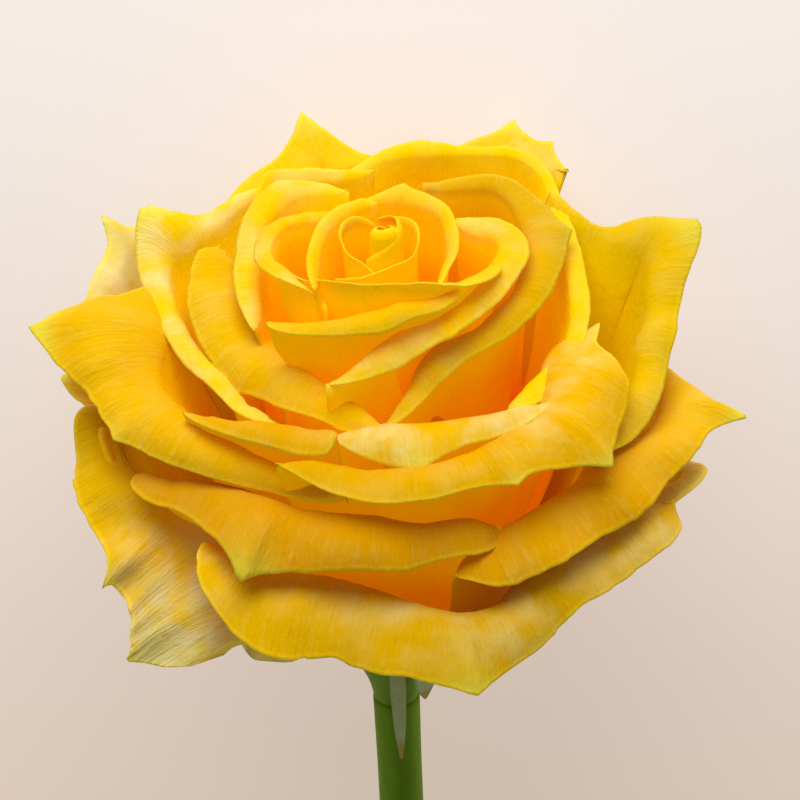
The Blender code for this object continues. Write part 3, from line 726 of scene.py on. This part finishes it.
def petal_surface(shape, seed, crumple):
    """The petal's fine middle surface with its waves and pleats, and where each point lies on the petal."""
    rng = np.random.default_rng(seed)
    fine = np.linspace(0, 1, 200)
    crest, _ = crest_line(shape, fine)
    walked = walked_along(crest)
    columns = int(np.clip(round(walked[-1] / COLUMN_STEP), FEWEST_COLUMNS, MOST_COLUMNS))
    along = np.interp(np.linspace(0, walked[-1], columns + 1), walked, fine)
    across = np.interp(along, fine, walked)[:, None]
    rows = int(np.clip(round(max(shape["margin"]) / MARGIN_ROW), FEWEST_MARGIN_ROWS, MOST_MARGIN_ROWS))
    margin_stops = np.linspace(0, 1, rows + 1)[1:]
    grid = petal_grid(shape, along, np.linspace(0, 1, WALL_ROWS + 1), margin_stops)
    nicks = 1 + NICK[0] * waves(rng, across, 0 * across, NICK[1])
    nicks = nicks + LOBE[0] * waves(rng, across, 0 * across, LOBE[1])
    top = grid[:, WALL_ROWS, None].copy()
    grid[:, WALL_ROWS + 1:] = top + (grid[:, WALL_ROWS + 1:] - top) * nicks[..., None]
    steps = np.linalg.norm(np.diff(grid, axis=1), axis=2)
    up = np.concatenate((np.zeros((columns + 1, 1)), np.cumsum(steps, axis=1)), axis=1)
    outward = up - up[:, WALL_ROWS, None]
    from_side = np.minimum(across, across[-1] - across) + 0.5 * np.maximum(-outward, 0)
    rim = np.minimum(up[:, -1:] - up, from_side)
    normal = np.cross(np.gradient(grid, axis=0), np.gradient(grid, axis=1))
    normal /= np.linalg.norm(normal, axis=2)[..., None] + 1e-9
    loose = np.clip(1.2 - rim / FIRM_WIDTH, 0.0, 1.0)
    soft = waves(rng, across, outward, WAVE[1]) * WAVE[0]
    soft = soft + waves(rng, across, outward * 0.35, RIPPLE[1]) * RIPPLE[0]
    pleats = np.abs(waves(rng, across, outward * 0.15, PLEAT[1]))
    pleats = pleats * np.clip(1 - rim / PLEAT_WIDTH, LEAST_PLEAT, 1.0)
    grid = grid + normal * (soft * loose * crumple + pleats * PLEAT[0] * crumple)[..., None]
    tip = np.zeros_like(up)
    for place, length, spread in shape["tips"]:
        away = np.abs(across - np.interp(place, fine, walked))
        tip = np.maximum(tip, min(length / 4, 1) * np.exp(-away / (spread + 0.5) - rim / (spread + 1.0)))
    return grid, np.stack(np.broadcast_arrays(across, outward, rim), -1), tip


def change_along(values, stretch):
    """A value that changes along a petal, given at even steps, or one value for all of it."""
    values = np.atleast_1d(values)
    return np.interp(stretch, np.linspace(0, 1, len(values)), values)


def keep_at_points(item, name, values):
    """Keeps a number or a set of three at each point of a piece, for its finish to read."""
    kind, field = ("FLOAT", "value") if values.ndim == 1 else ("FLOAT_VECTOR", "vector")
    layer = item.data.attributes.new(name, kind, "POINT")
    layer.data.foreach_set(field, values.astype(np.float32).ravel())


def outer_points(item, on_wall, sheet_points):
    """Which points of a thickened petal lie on its outer face, whose wall is further from the axis."""
    flat = np.empty(len(item.data.vertices) * 3)
    item.data.vertices.foreach_get("co", flat)
    radii = np.hypot(flat[0::3], flat[1::3])
    first_sheet = np.arange(len(radii)) < sheet_points
    first_is_outer = radii[on_wall].mean() > radii[sheet_points + on_wall].mean()
    return first_sheet == first_is_outer


def petal_piece(shape, finish, seed):
    """Makes one petal: its fine sheet, its thickness, and what its skin needs to know at each point."""
    warm, pale, green, painted_shade, crumple = LOOKS.get(shape["name"], PLAIN_LOOK)
    grid, places, tips = petal_surface(shape, seed, crumple)
    item, column, row = sheet_from_grid(grid)
    spot = places[column, row]
    body = np.clip(spot[:, 2] / RIM_WIDTH, 0, 1) ** 0.7
    give_thickness(item, PETAL_THICKNESS, RIM_SHARE, body)
    outer = outer_points(item, np.flatnonzero(spot[:, 1] < -1.0), len(spot))
    twice = np.resize(np.arange(len(spot)), len(outer))
    stretch = (spot[:, 0] / spot[:, 0].max())[twice]
    size = mean_radius(shape)
    sheltered = shape["name"] in SHELTERED or size < SHELTER_RADIUS
    through = np.where(outer, LIT_SHELTERED if sheltered else LIT_BARE, np.interp(size, *LIT_INSIDE))
    bare = outer & (not sheltered)
    tone = (tips[column, row][twice], change_along(pale, stretch), change_along(green, stretch))
    keep_at_points(item, "place", spot[twice])
    keep_at_points(item, "tone", np.stack(tone, -1))
    keep_at_points(item, "side", np.stack((bare, change_along(warm, stretch), through), -1))
    keep_at_points(item, "painted_shade", change_along(painted_shade, stretch))
    seat_piece(item, "petal_" + shape["name"], finish.material)
    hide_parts("bloom")


# Tones of a petal's skin, with its painted sheen, highlight and shade, and of the painted glow that stands
# in for the light that comes through it.
BARE_FOOT = (0.90, 0.72, 0.12)
WARM_YELLOW = (0.96, 0.43, 0.0)
VEIN = (0.84, 0.44, 0.0)
STREAK = (0.97, 0.74, 0.12)
SHEEN_CREAM = (0.97, 0.75, 0.24)
WORN_CREAM_AND_SHEEN = (0.90, 0.76, 0.40)
YELLOW_TIP_AND_BACKLIGHT = (0.90, 0.81, 0.07)
GREENISH = (0.74, 0.72, 0.24)
LIP_HIGHLIGHT = (0.96, 0.68, 0.04)
PAINTED_SHADE_TONE = (0.62, 0.61, 0.5)
WALL_GLOW = (0.90, 0.53, 0.0)
DEPTH_GLOW = (0.82, 0.23, 0.0)
LIP_GLOW = (0.36, 0.27, 0.0)
NO_GLOW = (0.0, 0.0, 0.0)
GLOW_STRENGTH = 0.32


def petal_finish(name, depth, deep_tone_and_shade, gold, margin, sheen_and_wear_reach=0.0, sheen_and_cream_tone=SHEEN_CREAM):
    """Petal skin: orange in its depths, partly painted shade, golden on the wall, yellower over the rim,
    painted cream sheen on the crest.

    depth is how far down the wall, in millimetres, the orange and its painted shade begin, and
    sheen_and_wear_reach is how much further than the crest the painted cream sheen, on guard petals also
    their cream from wear, reaches.
    """
    finish = Finish(name)
    place = finish.stored("place")
    _, outward, rim = finish.parts(place)
    tip, pale, green = finish.parts(finish.stored("tone"))
    bare, warm, lit_through = finish.parts(finish.stored("side"))
    skin = finish.place_on_piece()
    mottle = finish.noise(skin, 150.0, 2.0)
    patches = finish.noise(skin, 210.0, 2.0)
    veins = finish.noise(finish.scaled(place, (1.9, 0.14, 0.0)), 1.0, 3.0, 0.7)
    streaks = finish.noise(finish.scaled(place, (1.3, 0.2, 0.0)), 1.0, 2.0, 0.6)
    grain = finish.noise(skin, 4200.0, 1.0)
    # The orange below the crest is partly the petal's own deeper tone and partly painted shade in the
    # recesses.
    below = 1 - finish.ease(outward + mottle * 8.0, -depth - 8.0, -depth + 10.0)
    beyond = finish.ease(outward, 1.5, 7.0)
    lip = 1 - finish.ease(rim + veins * 0.6, 0.35, 1.3)

    # The wall, the rolled margin, and the veins and streaks over both. The orange foot is partly painted
    # shade,
    # which a bare outer face does without: it turns a paler yellow there.
    base = finish.blend(below, gold, deep_tone_and_shade)
    base = finish.blend(bare * below * 0.8, base, BARE_FOOT)
    base = finish.blend(finish.ease(outward + mottle * 3.0, 0.0, 6.0) * 0.85, base, margin)
    base = finish.blend(warm * (0.7 + mottle * 0.6) * (1 - below), base, WARM_YELLOW)
    base = finish.blend(finish.ease(veins, 0.5, 0.8) * 0.12, base, VEIN)
    base = finish.blend(finish.ease(streaks, 0.5, 0.72) * beyond * 0.22, base, STREAK)

    # Painted sheen in cream on the crest, yellow and green at the tips, the yellow partly painted light
    # through them, a painted highlight on the lip, and painted shade on the petals that are lit less.
    # Painted sheen: pale cream over the crest, where light grazes it; on the guard petals it spreads wider
    # and is also their own cream from wear.
    crest_start = finish.ease(outward, -2.5 - sheen_and_wear_reach, 1.5 - sheen_and_wear_reach)
    crest = crest_start * (1 - finish.ease(outward, 5.0 + sheen_and_wear_reach, 14.0 + sheen_and_wear_reach))
    cream = crest * finish.ease(patches + veins * 0.3, 0.5, 0.95 - sheen_and_wear_reach * 0.004) * pale
    base = finish.blend(cream, base, sheen_and_cream_tone)
    # The tips turn yellower, partly their own tone and partly painted light that shines through the thin
    # tips.
    base = finish.blend(finish.ease(tip + patches * 0.3, 0.3, 0.95) * 0.8, base, YELLOW_TIP_AND_BACKLIGHT)
    base = finish.blend(finish.ease(mottle + green * 0.6, 0.6, 0.95) * green, base, GREENISH)
    # Painted highlight: the lip is brightened, where the thin rim would otherwise shade it.
    base = finish.blend(lip * 0.3, base, LIP_HIGHLIGHT)
    # Painted shade: the whole skin is darkened on the petals that are lit less.
    base = finish.blend(finish.stored("painted_shade", 2), base, PAINTED_SHADE_TONE, "MULTIPLY")

    # A painted glow stands in for light through the wall, over the crest where the outer face is sheltered,
    # and at the lip.
    wall = 1 - finish.ease(outward, -0.25 * depth, 0.5)
    roll = finish.ease(lit_through, 0.75, 0.85) * (1 - finish.ease(outward, 1.0, 4.0))
    shine = finish.node("Math", {"operation": "MAXIMUM"}, {0: wall * lit_through, 1: roll})
    glow = finish.blend(below, WALL_GLOW, DEPTH_GLOW)
    glow = finish.blend(shine, finish.blend(lip, NO_GLOW, LIP_GLOW), glow)

    bumps = finish.relief(veins + streaks * beyond, 0.0005, 0.5)
    bumps = finish.relief(finish.noise(skin, 700.0, 2.0), 0.0004, 0.3, bumps)
    finish.set(
        Base_Color=base,
        Roughness=0.5 + grain * 0.2,
        Normal=finish.relief(grain, 0.00008, 0.5, bumps),
        Specular_IOR_Level=0.08,
        Specular_Tint=(1.0, 0.75, 0.0, 1.0),
        Emission_Color=glow,
        Emission_Strength=GLOW_STRENGTH,
    )
    return finish


# Petals whose outer face is hidden behind others: it gets a strong painted glow, standing in for the light
# that comes through it, and keeps the painted shade at its foot.
SHELTERED = (
    "pair_left", "pair_right", "front_lobe", "front_low", "left_inner", "left_mid", "band_left",
)

# Petals whose wall stays golden a long way down, as the orange and its painted shade begin lower on them.
TALL = ("back_wall", "right_wall", "left_outer", "back_left", "back_right", "shoulder_left", "collar_left")

# How warm a yellow each petal's skin has, how pale with painted sheen on its crest, how green it has turned,
# how much painted shade darkens it where it is lit less, and how crumpled it is. A set of numbers changes
# along the petal, from its left to its right.
PLAIN_LOOK = (0.4, 0.2, 0.0, 0.4, 1.0)
LOOKS = {
    "bud_inner": (0.5, 0.0, 0.0, 0.0, 0.4),
    "bud_outer": (0.4, 0.0, 0.0, 0.0, 0.4),
    "cup_left": (0.1, 0.1, 0.0, 0.0, 0.5),
    "cup_right": (0.1, 0.1, 0.0, 0.0, 0.5),
    "ring_left": (0.2, 0.3, 0.0, 0.0, 0.7),
    "ring_right": (0.2, 0.2, 0.0, 0.0, 0.7),
    "ear_left": (0.2, 0.5, 0.0, 0.0, 0.8),
    "lip_front": (0.1, 0.2, 0.0, 0.0, 0.7),
    "roll_front": (0.3, 0.1, 0.0, 0.1, 0.7),
    "swirl_right": (0.1, 0.5, 0.0, 0.1, 0.8),
    "swirl_outer": (0.3, 0.2, 0.0, 0.6, 0.9),
    "shoulder_left": (0.1, 0.5, 0.0, 0.0, 0.9),
    "collar_left": (0.2, 0.4, 0.0, 0.0, 0.9),
    "band_left": (0.3, 0.2, 0.0, 0.25, 1.0),
    "back_wall": (0.0, 0.2, 0.0, 0.0, 0.9),
    "pair_left": (0.6, 0.2, 0.0, 0.5, 1.0),
    "pair_right": (0.3, 1.0, 0.0, 0.3, 1.0),
    "front_lobe": (0.5, (0.1, 0.2, 0.6, 0.7), 0.0, (0.6, 0.5, 0.0), 1.1),
    "left_outer": (0.0, (1.0, 1.0, 0.3), 0.1, 0.0, 1.2),
    "left_big": (0.4, 0.1, 0.0, (0.2, 0.4), 1.3),
    "back_left": (0.1, 0.1, 0.0, 0.0, 1.0),
    "back_right": (0.2, 0.5, 0.2, 0.0, 1.2),
    "right_wall": (0.1, 0.2, 0.0, 0.45, 1.2),
    "right_low": ((0.8, 0.8, 0.1), 0.1, (0.0, 0.0, 0.3), (0.4, 0.4, 0.0), 1.1),
    "skirt_front": (0.3, (0.3, 0.8, 1.0, 0.9), (0.0, 0.05, 0.3, 0.1, 0.3), (0.2, 0.8, 0.7, 0.3), 1.6),
    "front_low": (0.9, 0.1, 0.0, 0.65, 1.3),
    "guard_left": (0.3, (0.0, 0.0, 0.7, 0.9), (0.1, 0.0, 0.4, 0.7), (0.6, 0.3, 0.0), 3.0),
    "guard_top_left": (0.1, 0.8, 0.5, 0.0, 1.6),
    "guard_side": (0.3, 0.4, 0.2, 0.0, 1.4),
    "guard_right": (0.1, 1.0, 0.5, 0.0, 1.4),
}
# Four copies of the skin, which differ in their golds and in how far down the orange and its painted shade
# begin.
heart_finish = petal_finish("heart_petal", 6.0, (0.97, 0.28, 0.0), (0.97, 0.58, 0.0), (0.96, 0.61, 0.0))
tall_finish = petal_finish("tall_petal", 20.0, (0.97, 0.28, 0.0), (0.97, 0.66, 0.0), (0.95, 0.61, 0.0))
open_finish = petal_finish("open_petal", 7.0, (0.94, 0.29, 0.0), (0.97, 0.50, 0.0), (0.95, 0.61, 0.0))
guard_finish = petal_finish("guard_petal", 26.0, (0.95, 0.57, 0.0), (0.95, 0.60, 0.0), (0.93, 0.62, 0.0),
                            30.0, WORN_CREAM_AND_SHEEN)
for seed, shape in enumerate(PETALS, 1):
    if shape["name"].startswith("guard"):
        finish = guard_finish
    elif shape["name"] in TALL:
        finish = tall_finish
    elif mean_radius(shape) < SHELTER_RADIUS:
        finish = heart_finish
    else:
        finish = open_finish
    petal_piece(shape, finish, seed)
